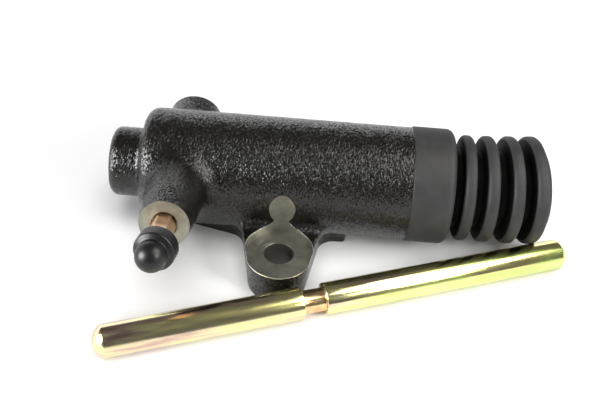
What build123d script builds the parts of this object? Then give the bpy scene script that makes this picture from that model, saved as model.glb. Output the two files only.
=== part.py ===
from build123d import *
import math
import os

os.makedirs("parts", exist_ok=True)

# Frame: +X runs along the bore from the closed end to the boot, +Z is up from the
# mounting face, and the origin lies on that face midway between the two bolt holes.
# All sizes are in millimetres.

# Cast housing
body_radius = 18.0
pad_height = 2.0
closed_end_x = -45.0
closed_end_round = 3.4
chuck_boss_radius = 11.0
chuck_boss_length = 10.3
chuck_boss_round = 2.6
chuck_boss_root = 1.8
shoulder_x = 39.0
neck_radius = 15.2
neck_length = 12.5
neck_groove_depth = 1.0
neck_groove_width = 3.0
neck_groove_offset = 4.6
cast_fillet = 3.2

# Mounting flange and its two ears
hole_spacing = 55.0
bolt_hole_radius = 4.5
ear_offset = 1.05
ear_foot_radius = 9.1
ear_draft_deg = 4.2
ear_face_height = 11.0
ear_cast_height = 12.6
spot_face_radius = 10.75
spot_face_offset = 0.42
flange_waist_half = 13.0
pad_reach = 21.0
arm_reach = 31.0
arm_taper_from = 18.5
arm_end_width = 9.8
arm_side_step = 0.1
pad_width = 17.0
pad_corner = 1.6
ear_root_fillet = 4.5
ledge_fillet = 3.0

# Bore
bore_radius = 11.11
bore_bottom_x = -37.0
bore_cone_depth = 3.0
mouth_chamfer = 0.8
ring_groove_depth = 0.85
ring_groove_width = 1.5
ring_groove_from_mouth = 2.9

# Ports, both a little ahead of the bore's closed end
port_x = -32.4
inlet_boss_radius = 8.75
inlet_reach = 26.5
inlet_thread_radius = 4.5
inlet_thread_depth = 11.0
inlet_drill_radius = 1.5
boss_draft_deg = 1.5
bleeder_angle_deg = 15.0
bleeder_reach = 41.4
seat_radius = 7.3
seat_draft_deg = 3.2
recess_radius = 3.85
recess_depth = 1.2
bleeder_thread_radius = 3.5
bleeder_thread_depth = 15.0
bleeder_drill_radius = 1.4

# Bleeder screw, measured outward from its machined seat
hex_across_flats = 6.35
hex_foot = -0.9
hex_top = 11.5
hex_chamfer = 0.45
hex_turn_deg = 0.0
screw_length = 14.0
screw_tip_length = 2.6
nipple_neck_radius = 2.3
nipple_radius = 2.95
nipple_bead_start = 14.0
nipple_top = 20.2
fluid_hole_radius = 0.9
fluid_hole_depth = 29.6

# Rubber dust cap on the bleeder
cap_gap = 0.35
cap_skirt_radius = 5.95
cap_skirt_length = 4.1
cap_shoulder_radius = 5.6
cap_ball_radius = 4.45
cap_ball_height = 18.1
cap_wall_top = 1.7
cap_rim_round = 0.5

# Piston and its seals
piston_clearance = 0.05
piston_length = 32.4
piston_head_length = 4.5
piston_waist_radius = 9.2
seal_groove_radius = 7.9
seal_groove_width = 6.0
seal_land_length = 4.0
socket_radius = 5.2
socket_depth = 14.0
piston_edge = 0.5
cup_length = 6.5
cup_lip = 1.6
seal_clearance = 0.08
spreader_flange_radius = 8.9
spreader_flange = 1.4
spreader_hub_radius = 6.4
spreader_hub_length = 4.4
ring_clearance = 0.3

# Return spring
spring_wire_radius = 0.75
spring_mean_radius = 7.6
spring_turns = 7.5
spring_seat_gap = 0.1

# Retaining ring in the bore's mouth
ring_thickness = 1.2
ring_inner_radius = 9.3
ring_opening_deg = 50.0
ring_ear_radius = 1.6
ring_ear_hole_radius = 0.6

# Rubber boot
boot_band_radius = 18.35
boot_band_length = 12.9
boot_fit = 0.05
boot_bead_length = 2.8
ring_count = 4
boot_ring_pitch = 7.0
boot_ring_radius = 16.6
boot_ring_flat = 4.1
boot_groove_radius = 13.5
boot_groove_flat = 1.3
boot_wall = 1.8
boot_crest_round = 1.35
boot_groove_round = 0.55
boot_collar_length = 5.2
boot_collar_radius = 6.4
boot_hole_radius = 3.5

# Push rod, lying on the table in front of the ear
rod_radius = 4.9
rod_length = 150.4
rod_inner_length = 62.7
rod_neck_length = 6.8
rod_neck_radius = 3.6
rod_dome = 3.0
rod_edge = 0.35
rod_angle_deg = 20.12
rod_gap = 0.5
rod_overhang = 12.8

# Places worked out from the sizes above
bore_axis_height = body_radius + pad_height
hole_y = hole_spacing / 2
neck_end_x = shoulder_x + neck_length
chuck_boss_end_x = closed_end_x - chuck_boss_length
groove_x = shoulder_x + neck_groove_offset
ring_groove_x = neck_end_x - ring_groove_from_mouth - ring_groove_width
ring_groove_radius = bore_radius + ring_groove_depth
retaining_ring_x = ring_groove_x + (ring_groove_width - ring_thickness) / 2
piston_front_x = retaining_ring_x - ring_clearance
piston_back_x = piston_front_x - piston_length
piston_radius = bore_radius - piston_clearance
seal_radius = bore_radius - seal_clearance
bleeder_angle = math.radians(bleeder_angle_deg)
bleeder_direction = Vector(0, -math.cos(bleeder_angle), math.sin(bleeder_angle))
seat_centre = Vector(port_x, 0, bore_axis_height) + bleeder_direction * bleeder_reach

bore_axis = Axis((0, 0, bore_axis_height), (1, 0, 0))
axis_plane = Plane(origin=(0, 0, bore_axis_height), x_dir=(1, 0, 0), z_dir=(0, -1, 0))
inlet_plane = Plane(origin=(port_x, inlet_reach, bore_axis_height), x_dir=(-1, 0, 0), z_dir=(0, 1, 0))
seat_plane = Plane(origin=seat_centre, x_dir=(1, 0, 0), z_dir=bleeder_direction)
bleeder_profile = Plane(origin=seat_centre, x_dir=bleeder_direction, z_dir=(1, 0, 0))
bleeder_axis = Axis(seat_centre, bleeder_direction)


def on_body(edge):
    """True for an edge that lies on the body's cylinder, clear of its two end circles."""
    points = [edge.position_at(share) for share in (0.0, 0.25, 0.5, 0.75, 1.0)]
    radii = [math.hypot(point.Y, point.Z - bore_axis_height) for point in points]
    inside = all(closed_end_x + closed_end_round < point.X < shoulder_x - 0.1 for point in points)
    return inside and all(abs(radius - body_radius) < 0.01 for radius in radii)


def near(sketch, x, radius):
    """The vertices of a half profile at one place along the axis and one radius."""
    return [v for v in sketch.vertices() if abs(v.X - x) < 0.01 and abs(abs(v.Z - bore_axis_height) - radius) < 0.01]


# Housing: body, chucking boss and boot neck are one turned outline
with BuildPart() as housing:
    with BuildSketch(axis_plane) as outline:
        with BuildLine():
            Polyline(
                (chuck_boss_end_x, 0),
                (chuck_boss_end_x, chuck_boss_radius),
                (closed_end_x, chuck_boss_radius),
                (closed_end_x, body_radius),
                (shoulder_x, body_radius),
                (shoulder_x, neck_radius),
                (groove_x, neck_radius),
                (groove_x, neck_radius - neck_groove_depth),
                (groove_x + neck_groove_width, neck_radius - neck_groove_depth),
                (groove_x + neck_groove_width, neck_radius),
                (neck_end_x, neck_radius),
                (neck_end_x, 0),
                close=True,
            )
        make_face()
        fillet(near(outline, chuck_boss_end_x, chuck_boss_radius), chuck_boss_round)
        fillet(near(outline, closed_end_x, body_radius), closed_end_round)
        fillet(near(outline, closed_end_x, chuck_boss_radius), chuck_boss_root)
    revolve(axis=bore_axis)

    # Bleeder boss, round and drafted, leaving the body's front at a low angle
    with BuildSketch(seat_plane):
        Circle(seat_radius)
    extrude(amount=-(bleeder_reach - body_radius / 2), taper=-seat_draft_deg)
    fillet(housing.edges(Select.LAST).filter_by(on_body), cast_fillet)

    # Inlet boss, straight out of the back
    with BuildSketch(inlet_plane):
        Circle(inlet_boss_radius)
    extrude(amount=-(inlet_reach - body_radius / 2), taper=-boss_draft_deg)
    fillet(housing.edges(Select.LAST).filter_by(on_body), cast_fillet)

    # Flange: a waisted pad under the body that carries an ear on each side
    with BuildSketch() as flange:
        with Locations((0, hole_y + ear_offset), (0, -hole_y - ear_offset)):
            Circle(ear_foot_radius)
        Rectangle(2 * flange_waist_half, pad_width)
        make_hull()
        Rectangle(2 * pad_reach, pad_width)
        roots = [
            v
            for v in flange.vertices()
            if abs(abs(v.Y) - pad_width / 2) < 0.01 and abs(v.X) < pad_reach - 2 * pad_corner
        ]
        fillet(roots, ear_root_fillet)
        corners = [v for v in flange.vertices() if abs(v.X) > pad_reach - 0.01]
        fillet(corners, pad_corner)
    extrude(amount=ear_cast_height, taper=-ear_draft_deg)
    fillet(housing.edges(Select.LAST).filter_by(on_body), ledge_fillet)

    # The pad runs on towards the ports as a narrowing arm
    with BuildSketch():
        Polygon(
            (-flange_waist_half, pad_width / 2 - arm_side_step),
            (-arm_taper_from, pad_width / 2 - arm_side_step),
            (-arm_reach, arm_end_width / 2),
            (-arm_reach, -arm_end_width / 2),
            (-arm_taper_from, -pad_width / 2 + arm_side_step),
            (-flange_waist_half, -pad_width / 2 + arm_side_step),
            align=None,
        )
    extrude(amount=ear_cast_height, taper=-ear_draft_deg)

    # Spot faces: the cutter also grazes the body's flank and leaves its mark there
    with BuildSketch(Plane.XY.offset(ear_face_height)):
        with Locations((0, hole_y + spot_face_offset), (0, -hole_y - spot_face_offset)):
            Circle(spot_face_radius)
    extrude(amount=bore_axis_height + body_radius, mode=Mode.SUBTRACT)
    with Locations((0, hole_y, ear_face_height), (0, -hole_y, ear_face_height)):
        Hole(bolt_hole_radius, depth=ear_cast_height)

    # Bore with its drilled bottom, mouth chamfer and groove for the retaining ring
    with BuildSketch(axis_plane):
        with BuildLine():
            Polyline(
                (bore_bottom_x - bore_cone_depth, 0),
                (bore_bottom_x, bore_radius),
                (ring_groove_x, bore_radius),
                (ring_groove_x, ring_groove_radius),
                (ring_groove_x + ring_groove_width, ring_groove_radius),
                (ring_groove_x + ring_groove_width, bore_radius),
                (neck_end_x - mouth_chamfer, bore_radius),
                (neck_end_x, bore_radius + mouth_chamfer),
                (neck_end_x, 0),
                close=True,
            )
        make_face()
    revolve(axis=bore_axis, mode=Mode.SUBTRACT)

    # Inlet port and bleeder port, each with a drilling into the bore
    with Locations(inlet_plane):
        Hole(inlet_thread_radius, depth=inlet_thread_depth)
        Hole(inlet_drill_radius, depth=inlet_reach - bore_radius / 2)
    with Locations(seat_plane):
        Hole(recess_radius, depth=recess_depth)
        Hole(bleeder_thread_radius, depth=bleeder_thread_depth)
        Hole(bleeder_drill_radius, depth=bleeder_reach - bore_radius / 2)

housing.part.label = "housing"
export_step(housing.part, "parts/housing.step")

# Piston: guided at both ends, with a seal groove and a socket for the push rod
seal_groove_back_x = piston_back_x + piston_length - seal_land_length - seal_groove_width
socket_cone_x = piston_front_x - socket_depth
socket_dome_radius = (socket_radius**2 + rod_dome**2) / (2 * rod_dome)
with BuildPart() as piston:
    with BuildSketch(axis_plane):
        with BuildLine():
            Polyline(
                (piston_back_x, 0),
                (piston_back_x, piston_radius - piston_edge),
                (piston_back_x + piston_edge, piston_radius),
                (piston_back_x + piston_head_length, piston_radius),
                (piston_back_x + piston_head_length, piston_waist_radius),
                (seal_groove_back_x - seal_land_length, piston_waist_radius),
                (seal_groove_back_x - seal_land_length, piston_radius),
                (seal_groove_back_x, piston_radius),
                (seal_groove_back_x, seal_groove_radius),
                (seal_groove_back_x + seal_groove_width, seal_groove_radius),
                (seal_groove_back_x + seal_groove_width, piston_radius),
                (piston_front_x - piston_edge, piston_radius),
                (piston_front_x, piston_radius - piston_edge),
                (piston_front_x, socket_radius + piston_edge),
                (piston_front_x - piston_edge, socket_radius),
                (socket_cone_x, socket_radius),
            )
            RadiusArc((socket_cone_x - rod_dome, 0), (socket_cone_x, socket_radius), socket_dome_radius)
            Line((socket_cone_x - rod_dome, 0), (piston_back_x, 0))
        make_face()
    revolve(axis=bore_axis)

piston.part.label = "piston"
export_step(piston.part, "parts/piston.step")

# Primary cup: flat back on the piston, lips towards the closed end
cup_back_x = piston_back_x
cup_front_x = cup_back_x - cup_length
with BuildPart() as primary_cup:
    with BuildSketch(axis_plane):
        with BuildLine():
            Polyline(
                (cup_back_x, 0),
                (cup_back_x, seal_radius - cup_lip / 2),
                (cup_front_x + cup_lip, seal_radius),
                (cup_front_x, seal_radius),
                (cup_front_x, seal_radius - cup_lip / 2),
                (cup_back_x - cup_lip - 1, seal_radius - 1.6 * cup_lip),
                (cup_back_x - cup_lip, seal_radius - 2.4 * cup_lip),
                (cup_back_x - cup_lip, 0),
                close=True,
            )
        make_face()
    revolve(axis=bore_axis)

primary_cup.part.label = "primary_cup"
export_step(primary_cup.part, "parts/primary_cup.step")

# Secondary seal: a lipped ring in the piston's groove
seal_side_clearance = 0.1
seal_back_x = seal_groove_back_x + seal_side_clearance
seal_front_x = seal_groove_back_x + seal_groove_width - seal_side_clearance
seal_inner_radius = seal_groove_radius + seal_side_clearance
with BuildPart() as secondary_seal:
    with BuildSketch(axis_plane):
        with BuildLine():
            Polyline(
                (seal_front_x, seal_inner_radius),
                (seal_front_x, seal_radius - cup_lip / 2),
                (seal_back_x + cup_lip, seal_radius),
                (seal_back_x, seal_radius),
                (seal_back_x, seal_radius - cup_lip / 2),
                (seal_front_x - cup_lip, seal_radius - cup_lip),
                (seal_front_x - cup_lip, seal_inner_radius + cup_lip / 3),
                (seal_back_x, seal_inner_radius + cup_lip / 3),
                (seal_back_x, seal_inner_radius),
                close=True,
            )
        make_face()
    revolve(axis=bore_axis)

secondary_seal.part.label = "secondary_seal"
export_step(secondary_seal.part, "parts/secondary_seal.step")

# Spring seat: a small plate whose hub fills the cup and centres the spring
spreader_x = cup_back_x - cup_lip
spring_front_x = spreader_x - spreader_flange
with BuildPart() as spring_seat:
    with BuildSketch(axis_plane):
        with BuildLine():
            Polyline(
                (spreader_x, 0),
                (spreader_x, seal_radius - 2.4 * cup_lip - seal_side_clearance),
                (spring_front_x, spreader_flange_radius - 0.4),
                (spring_front_x, spreader_hub_radius),
                (spring_front_x - spreader_hub_length, spreader_hub_radius - 0.5),
                (spring_front_x - spreader_hub_length, 0),
                close=True,
            )
        make_face()
    revolve(axis=bore_axis)

spring_seat.part.label = "spring_seat"
export_step(spring_seat.part, "parts/spring_seat.step")

# Return spring: round wire from the bore's bottom to the spring seat
spring_start_x = bore_bottom_x + spring_wire_radius + spring_seat_gap
spring_end_x = spring_front_x - spring_wire_radius - spring_seat_gap
spring_height = spring_end_x - spring_start_x
with BuildPart() as return_spring:
    with BuildLine() as coil:
        Helix(
            pitch=spring_height / spring_turns,
            height=spring_height,
            radius=spring_mean_radius,
            center=(spring_start_x, 0, bore_axis_height),
            direction=(1, 0, 0),
        )
    with BuildSketch(Plane(origin=coil.line @ 0, z_dir=coil.line % 0)):
        Circle(spring_wire_radius)
    sweep(is_frenet=True)

return_spring.part.label = "return_spring"
export_step(return_spring.part, "parts/return_spring.step")

# Retaining ring: an internal circlip with two eyes, in the groove by the mouth
ring_plane = Plane(origin=(retaining_ring_x, 0, bore_axis_height), x_dir=(0, 1, 0), z_dir=(1, 0, 0))
ring_outer_radius = ring_groove_radius - ring_clearance / 3
eye_angle = 90 - ring_opening_deg / 2
with BuildPart() as retaining_ring:
    with BuildSketch(ring_plane):
        Circle(ring_outer_radius)
        Circle(ring_inner_radius, mode=Mode.SUBTRACT)
        with BuildLine():
            Polyline(
                (0, 0),
                (
                    2 * ring_outer_radius * math.cos(math.radians(eye_angle)),
                    2 * ring_outer_radius * math.sin(math.radians(eye_angle)),
                ),
                (
                    -2 * ring_outer_radius * math.cos(math.radians(eye_angle)),
                    2 * ring_outer_radius * math.sin(math.radians(eye_angle)),
                ),
                close=True,
            )
        make_face(mode=Mode.SUBTRACT)
        with PolarLocations(ring_inner_radius, 2, start_angle=eye_angle, angular_range=ring_opening_deg, endpoint=True):
            Circle(ring_ear_radius)
        with PolarLocations(ring_inner_radius, 2, start_angle=eye_angle, angular_range=ring_opening_deg, endpoint=True):
            Circle(ring_ear_hole_radius, mode=Mode.SUBTRACT)
    extrude(amount=ring_thickness)

retaining_ring.part.label = "retaining_ring"
export_step(retaining_ring.part, "parts/retaining_ring.step")

# Boot: a band over the housing's neck, then the bellows rings and a collar for the rod
band_end_x = shoulder_x + boot_band_length
first_crest_x = band_end_x + boot_ring_pitch / 2 + 1.0
crests = [first_crest_x + i * boot_ring_pitch for i in range(ring_count)]
boot_end_x = crests[-1] + boot_ring_pitch / 2
bead_x = groove_x + (neck_groove_width - boot_bead_length) / 2
neck_fit = neck_radius + boot_fit
bead_fit = neck_radius - neck_groove_depth + boot_fit
crest_half = boot_ring_flat / 2
groove_half = boot_groove_flat / 2
inner_crest_half = crest_half - boot_wall / 2
inner_groove_half = groove_half + boot_wall / 2
cavity_start_x = neck_end_x + boot_fit
collar_x = boot_end_x - boot_collar_length

outer_points = [(shoulder_x, boot_band_radius), (band_end_x, boot_band_radius)]
inner_points = []
for crest_x in crests:
    valley_x = crest_x - boot_ring_pitch / 2
    outer_points.append((valley_x - groove_half, boot_groove_radius))
    outer_points.append((valley_x + groove_half, boot_groove_radius))
    outer_points.append((crest_x - crest_half, boot_ring_radius))
    outer_points.append((crest_x + crest_half, boot_ring_radius))
    inner_points.append((valley_x + inner_groove_half, boot_groove_radius - boot_wall))
    inner_points.append((crest_x - inner_crest_half, boot_ring_radius - boot_wall))
    inner_points.append((crest_x + inner_crest_half, boot_ring_radius - boot_wall))
    if crest_x != crests[-1]:
        inner_points.append((crest_x + boot_ring_pitch / 2 - inner_groove_half, boot_groove_radius - boot_wall))
inner_points.reverse()
boot_outline = outer_points + [
    (boot_end_x, boot_groove_radius + 1.2),
    (boot_end_x - 1.6, boot_collar_radius),
    (boot_end_x, boot_collar_radius),
    (boot_end_x, boot_hole_radius),
    (collar_x, boot_hole_radius),
    (collar_x, boot_collar_radius),
    (boot_end_x - 1.6 - boot_wall, boot_collar_radius),
    (boot_end_x - boot_wall, boot_groove_radius + 0.4),
]
boot_outline += inner_points + [
    (cavity_start_x, boot_groove_radius - boot_wall),
    (cavity_start_x, neck_fit),
    (bead_x + boot_bead_length, neck_fit),
    (bead_x + boot_bead_length, bead_fit),
    (bead_x, bead_fit),
    (bead_x, neck_fit),
    (shoulder_x, neck_fit),
]
with BuildPart() as boot:
    with BuildSketch(axis_plane) as boot_section:
        with BuildLine():
            Polyline(*boot_outline, close=True)
        make_face()
        crest_corners = [v for v in boot_section.vertices() if abs(v.Z - bore_axis_height - boot_ring_radius) < 0.01]
        fillet(crest_corners, boot_crest_round)
        groove_corners = [v for v in boot_section.vertices() if abs(v.Z - bore_axis_height - boot_groove_radius) < 0.01]
        fillet(groove_corners, boot_groove_round)
        fillet(near(boot_section, band_end_x, boot_band_radius), boot_crest_round)
        fillet(near(boot_section, shoulder_x, boot_band_radius), boot_groove_round)
        fillet(near(boot_section, boot_end_x, boot_groove_radius + 1.2), boot_crest_round)
    revolve(axis=bore_axis)

boot.part.label = "boot"
export_step(boot.part, "parts/boot.step")

# Push rod: plain round bar with domed ends and a turned neck for the boot's collar.
# It lies beside the boot's last ring, and its outer end reaches a little past it.
rod_angle = math.radians(rod_angle_deg)
rod_direction = Vector(math.cos(rod_angle), math.sin(rod_angle), 0)
rod_beside_x = crests[-1] + crest_half
rod_beside_y = -math.sqrt((boot_ring_radius + rod_radius + rod_gap) ** 2 - (bore_axis_height - rod_radius) ** 2)
rod_beside = Vector(rod_beside_x, rod_beside_y, rod_radius)
rod_origin = rod_beside + rod_direction * (rod_overhang - rod_length)
rod_plane = Plane(origin=rod_origin, x_dir=rod_direction, z_dir=(math.sin(rod_angle), -math.cos(rod_angle), 0))
dome_radius = (rod_radius**2 + rod_dome**2) / (2 * rod_dome)
neck_end = rod_inner_length + rod_neck_length
with BuildPart() as push_rod:
    with BuildSketch(rod_plane):
        with BuildLine():
            RadiusArc((0, 0), (rod_dome, rod_radius), dome_radius)
            Polyline(
                (rod_dome, rod_radius),
                (rod_inner_length - rod_edge, rod_radius),
                (rod_inner_length, rod_radius - rod_edge),
                (rod_inner_length, rod_neck_radius),
                (neck_end, rod_neck_radius),
                (neck_end, rod_radius - rod_edge),
                (neck_end + rod_edge, rod_radius),
                (rod_length - rod_dome, rod_radius),
            )
            RadiusArc((rod_length - rod_dome, rod_radius), (rod_length, 0), dome_radius)
            Line((rod_length, 0), (0, 0))
        make_face()
    revolve(axis=Axis(rod_origin, rod_direction))

push_rod.part.label = "push_rod"
export_step(push_rod.part, "parts/push_rod.step")

# Bleeder screw: coned tip, threaded shank, hexagon and a barbed nipple, drilled through
shank_radius = bleeder_thread_radius - piston_clearance
nipple_tip_radius = nipple_neck_radius - 0.3
with BuildPart() as bleeder_screw:
    with BuildSketch(bleeder_profile):
        with BuildLine():
            Polyline(
                (-screw_length, 0),
                (-screw_length, bleeder_drill_radius),
                (-screw_length + screw_tip_length, shank_radius - 0.8),
                (-screw_length + screw_tip_length, shank_radius),
                (hex_foot, shank_radius),
                (hex_foot, nipple_neck_radius),
                (nipple_bead_start, nipple_neck_radius),
                (nipple_bead_start + 0.8, nipple_radius),
                (nipple_bead_start + 1.8, nipple_radius),
                (nipple_top, nipple_tip_radius),
                (nipple_top, 0),
                close=True,
            )
        make_face()
    revolve(axis=bleeder_axis)
    with BuildSketch(seat_plane.offset(hex_foot)):
        RegularPolygon(hex_across_flats / 2, 6, major_radius=False, rotation=hex_turn_deg)
    extrude(amount=hex_top - hex_foot)
    hex_rims = bleeder_screw.edges(Select.LAST).filter_by(GeomType.LINE)
    top_rim = hex_rims.sort_by(Axis(seat_centre, bleeder_direction))[-6:]
    chamfer(top_rim, hex_chamfer)
    with Locations(seat_plane.offset(nipple_top)):
        Hole(fluid_hole_radius, depth=fluid_hole_depth)
    cross_drill = Plane(
        origin=seat_centre - bleeder_direction * (fluid_hole_depth - nipple_top - fluid_hole_radius),
        x_dir=bleeder_direction,
        z_dir=(1, 0, 0),
    )
    with BuildSketch(cross_drill):
        Circle(fluid_hole_radius)
    extrude(amount=shank_radius + 1, both=True, mode=Mode.SUBTRACT)

bleeder_screw.part.label = "bleeder_screw"
export_step(bleeder_screw.part, "parts/bleeder_screw.step")

# Dust cap: a short skirt, a shoulder and a ball, hollow for the nipple
cap_rim = hex_top + cap_gap
cap_shoulder = cap_rim + cap_skirt_length
ball_contact = math.sqrt(cap_ball_radius**2 - (cap_ball_height - cap_shoulder) ** 2)
cap_bore = nipple_radius + piston_clearance
cap_top = cap_ball_height + cap_ball_radius
with BuildPart() as bleeder_cap:
    with BuildSketch(bleeder_profile):
        with BuildLine():
            Polyline(
                (cap_top - cap_wall_top, 0),
                (cap_top - cap_wall_top, cap_bore),
                (cap_rim, cap_bore),
                (cap_rim, cap_skirt_radius - cap_rim_round),
                (cap_rim + cap_rim_round, cap_skirt_radius),
                (cap_shoulder - cap_rim_round, cap_skirt_radius),
                (cap_shoulder, cap_shoulder_radius),
                (cap_shoulder, ball_contact),
            )
            ThreePointArc(
                (cap_shoulder, ball_contact),
                (cap_ball_height, cap_ball_radius),
                (cap_top, 0),
            )
            Line((cap_top, 0), (cap_top - cap_wall_top, 0))
        make_face()
    revolve(axis=bleeder_axis)

bleeder_cap.part.label = "bleeder_cap"
export_step(bleeder_cap.part, "parts/bleeder_cap.step")
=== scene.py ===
import math

import bmesh
import bpy
import numpy as np
from mathutils import Matrix, Vector


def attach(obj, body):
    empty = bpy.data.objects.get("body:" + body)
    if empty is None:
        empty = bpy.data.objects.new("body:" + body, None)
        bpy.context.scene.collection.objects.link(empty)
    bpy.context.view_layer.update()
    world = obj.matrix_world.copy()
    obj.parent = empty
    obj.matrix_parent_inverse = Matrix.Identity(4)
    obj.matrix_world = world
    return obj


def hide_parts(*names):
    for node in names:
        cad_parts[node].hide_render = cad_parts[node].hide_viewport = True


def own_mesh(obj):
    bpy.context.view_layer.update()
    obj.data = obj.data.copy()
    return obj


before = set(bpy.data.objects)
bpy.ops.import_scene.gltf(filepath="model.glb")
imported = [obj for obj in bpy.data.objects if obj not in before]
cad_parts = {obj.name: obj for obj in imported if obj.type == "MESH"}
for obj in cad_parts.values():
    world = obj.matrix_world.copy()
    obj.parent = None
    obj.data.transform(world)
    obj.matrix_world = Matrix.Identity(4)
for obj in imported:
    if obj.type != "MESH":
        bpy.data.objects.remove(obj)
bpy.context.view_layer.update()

MM = 0.001

# Sizes in millimetres, as in the part's own source
AXIS_Z = 20.0
BODY_R = 18.0
END_X = -45.0
SHOULDER_X = 39.0
MOUTH_X = 51.5
BORE_R = 11.11
NECK_R = 15.2
NECK_GROOVE_X = (43.6, 46.6)
NECK_GROOVE_R = 14.2
RING_GROOVE_X = (47.1, 48.6)
RING_GROOVE_R = 11.96
BOOT_FIT = 0.05
PORT_X = -32.4
HOLE_Y = 27.5
HOLE_R = 4.5
EAR_FACE_Z = 11.0
SPOT_R = 10.75
SPOT_OFFSET = 0.42
EAR_OFFSET = 1.05
BLEEDER_ANGLE = math.radians(15.0)
BLEEDER_REACH = 41.4
INLET_REACH = 26.5
CAP_RIM = 11.85
ROD_R = 4.9
ROD_LENGTH = 150.4
ROD_ANGLE = math.radians(20.55)
ROD_NECK = (61.9, 68.6)
ROD_NECK_R = 3.6

X_AXIS = Vector((1, 0, 0))
Y_AXIS = Vector((0, 1, 0))
Z_AXIS = Vector((0, 0, 1))
BORE_ORIGIN = Vector((0, 0, AXIS_Z))
BLEEDER_OUT = Vector((0, -math.cos(BLEEDER_ANGLE), math.sin(BLEEDER_ANGLE)))
SEAT = Vector((PORT_X, 0, AXIS_Z)) + BLEEDER_OUT * BLEEDER_REACH
INLET_FACE = Vector((PORT_X, INLET_REACH, AXIS_Z))
ROD_TIP = Vector((-49.8, -63.35, ROD_R))
ROD_AXIS = Vector((math.cos(ROD_ANGLE), math.sin(ROD_ANGLE), 0))


# Mesh helpers

def add_object(name, vertices, faces, sharp_deg=32.0):
    """A smooth-shaded object from points in millimetres."""
    mesh = bpy.data.meshes.new(name)
    mesh.from_pydata([tuple(point) for point in np.asarray(vertices) * MM], [], faces)
    shell = bmesh.new()
    shell.from_mesh(mesh)
    bmesh.ops.recalc_face_normals(shell, faces=shell.faces)
    shell.to_mesh(mesh)
    shell.free()
    mesh.polygons.foreach_set("use_smooth", [True] * len(mesh.polygons))
    mesh.set_sharp_from_angle(angle=math.radians(sharp_deg))
    made = bpy.data.objects.new(name, mesh)
    bpy.context.collection.objects.link(made)
    return made


def rounded(points, closed=False, steps=8):
    """A profile's points, where a third value rounds that corner with an arc of that radius."""
    result = []
    count = len(points)
    for i, point in enumerate(points):
        here = np.array(point[:2], float)
        if len(point) < 3 or (not closed and i in (0, count - 1)):
            result.append(tuple(here))
            continue
        back = np.array(points[i - 1][:2], float) - here
        ahead = np.array(points[(i + 1) % count][:2], float) - here
        back /= np.linalg.norm(back)
        ahead /= np.linalg.norm(ahead)
        half = math.acos(float(np.clip(back @ ahead, -1, 1))) / 2
        reach = point[2] / math.tan(half)
        centre = here + (back + ahead) / np.linalg.norm(back + ahead) * point[2] / math.sin(half)
        first = here + back * reach - centre
        last = here + ahead * reach - centre
        sweep = math.pi - 2 * half
        for step in range(steps + 1):
            share = step / steps
            mix = math.sin((1 - share) * sweep) * first + math.sin(share * sweep) * last
            result.append(tuple(centre + mix / math.sin(sweep)))
    return result


def directions(axis):
    """Two unit vectors across an axis."""
    across = Z_AXIS if abs(axis.z) < 0.9 else X_AXIS
    first = across.cross(axis).normalized()
    return first, axis.cross(first)


def unit_ring(axis, steps):
    """The angles round an axis and the unit vectors at them."""
    first, second = directions(axis)
    angles = np.linspace(0, 2 * math.pi, steps, endpoint=False)
    return angles, np.outer(np.cos(angles), first) + np.outer(np.sin(angles), second)


def lathe(name, profile, origin, axis, closed=False, steps=128, sharp_deg=32.0):
    """A turned solid: profile points are (distance along the axis, radius)."""
    _, ring = unit_ring(axis, steps)
    vertices = []
    rows = []
    for along, radius in profile:
        start = len(vertices)
        centre = np.array(origin) + np.array(axis) * along
        if radius < 1e-6:
            vertices.append(centre)
            rows.append([start] * steps)
        else:
            vertices.extend(centre + ring * radius)
            rows.append(list(range(start, start + steps)))
    pairs = list(zip(rows, rows[1:]))
    if closed:
        pairs.append((rows[-1], rows[0]))
    faces = []
    for near, far in pairs:
        for i in range(steps):
            j = (i + 1) % steps
            corners = [near[i], near[j], far[j], far[i]]
            face = [c for k, c in enumerate(corners) if c != corners[k - 1]]
            if len(face) > 2:
                faces.append(face[::-1])
    return add_object(name, vertices, faces, sharp_deg)


def threaded(name, start, end, root, crest, pitch, origin, axis, steps=72, rows_per_turn=12):
    """A closed solid bar with a helical V thread that fades out at both ends."""
    heights = np.linspace(start, end, int((end - start) / pitch * rows_per_turn))
    angles, ring = unit_ring(axis, steps)
    turns = angles / (2 * math.pi)
    vertices = [np.array(origin) + np.array(axis) * start]
    for height in heights:
        phase = (height / pitch - turns) % 1.0
        ridge = np.clip(1.5 - 3.0 * np.abs(phase - 0.5), 0, 1)
        fade = np.clip(np.minimum(height - start, end - height) / pitch, 0, 1)
        radii = root + (crest - root) * ridge * fade
        vertices.extend(np.array(origin) + np.array(axis) * height + ring * radii[:, None])
    vertices.append(np.array(origin) + np.array(axis) * end)
    faces = []
    rows = len(heights)
    for row in range(rows - 1):
        for i in range(steps):
            j = (i + 1) % steps
            low = 1 + row * steps
            faces.append([low + i, low + steps + i, low + steps + j, low + j])
    top = 1 + (rows - 1) * steps
    last = len(vertices) - 1
    for i in range(steps):
        j = (i + 1) % steps
        faces.append([0, 1 + i, 1 + j])
        faces.append([last, top + j, top + i])
    return add_object(name, vertices, faces, 40.0)


# Material helpers

def material(name):
    """A new node material, its node tree and its Principled shader."""
    made = bpy.data.materials.new(name)
    made.use_nodes = True
    nodes = made.node_tree.nodes
    return made, made.node_tree, nodes["Principled BSDF"]


def object_position(tree):
    """Where the shaded point lies on its piece, in metres."""
    return tree.nodes.new("ShaderNodeTexCoord").outputs["Object"]


def noise(tree, scale, detail=4.0, roughness=0.5, vector=None):
    """Cloudy noise between 0 and 1, at the point itself or at another vector."""
    made = tree.nodes.new("ShaderNodeTexNoise")
    made.inputs["Scale"].default_value = scale
    made.inputs["Detail"].default_value = detail
    made.inputs["Roughness"].default_value = roughness
    tree.links.new(vector or object_position(tree), made.inputs["Vector"])
    return made.outputs["Fac"]


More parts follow.
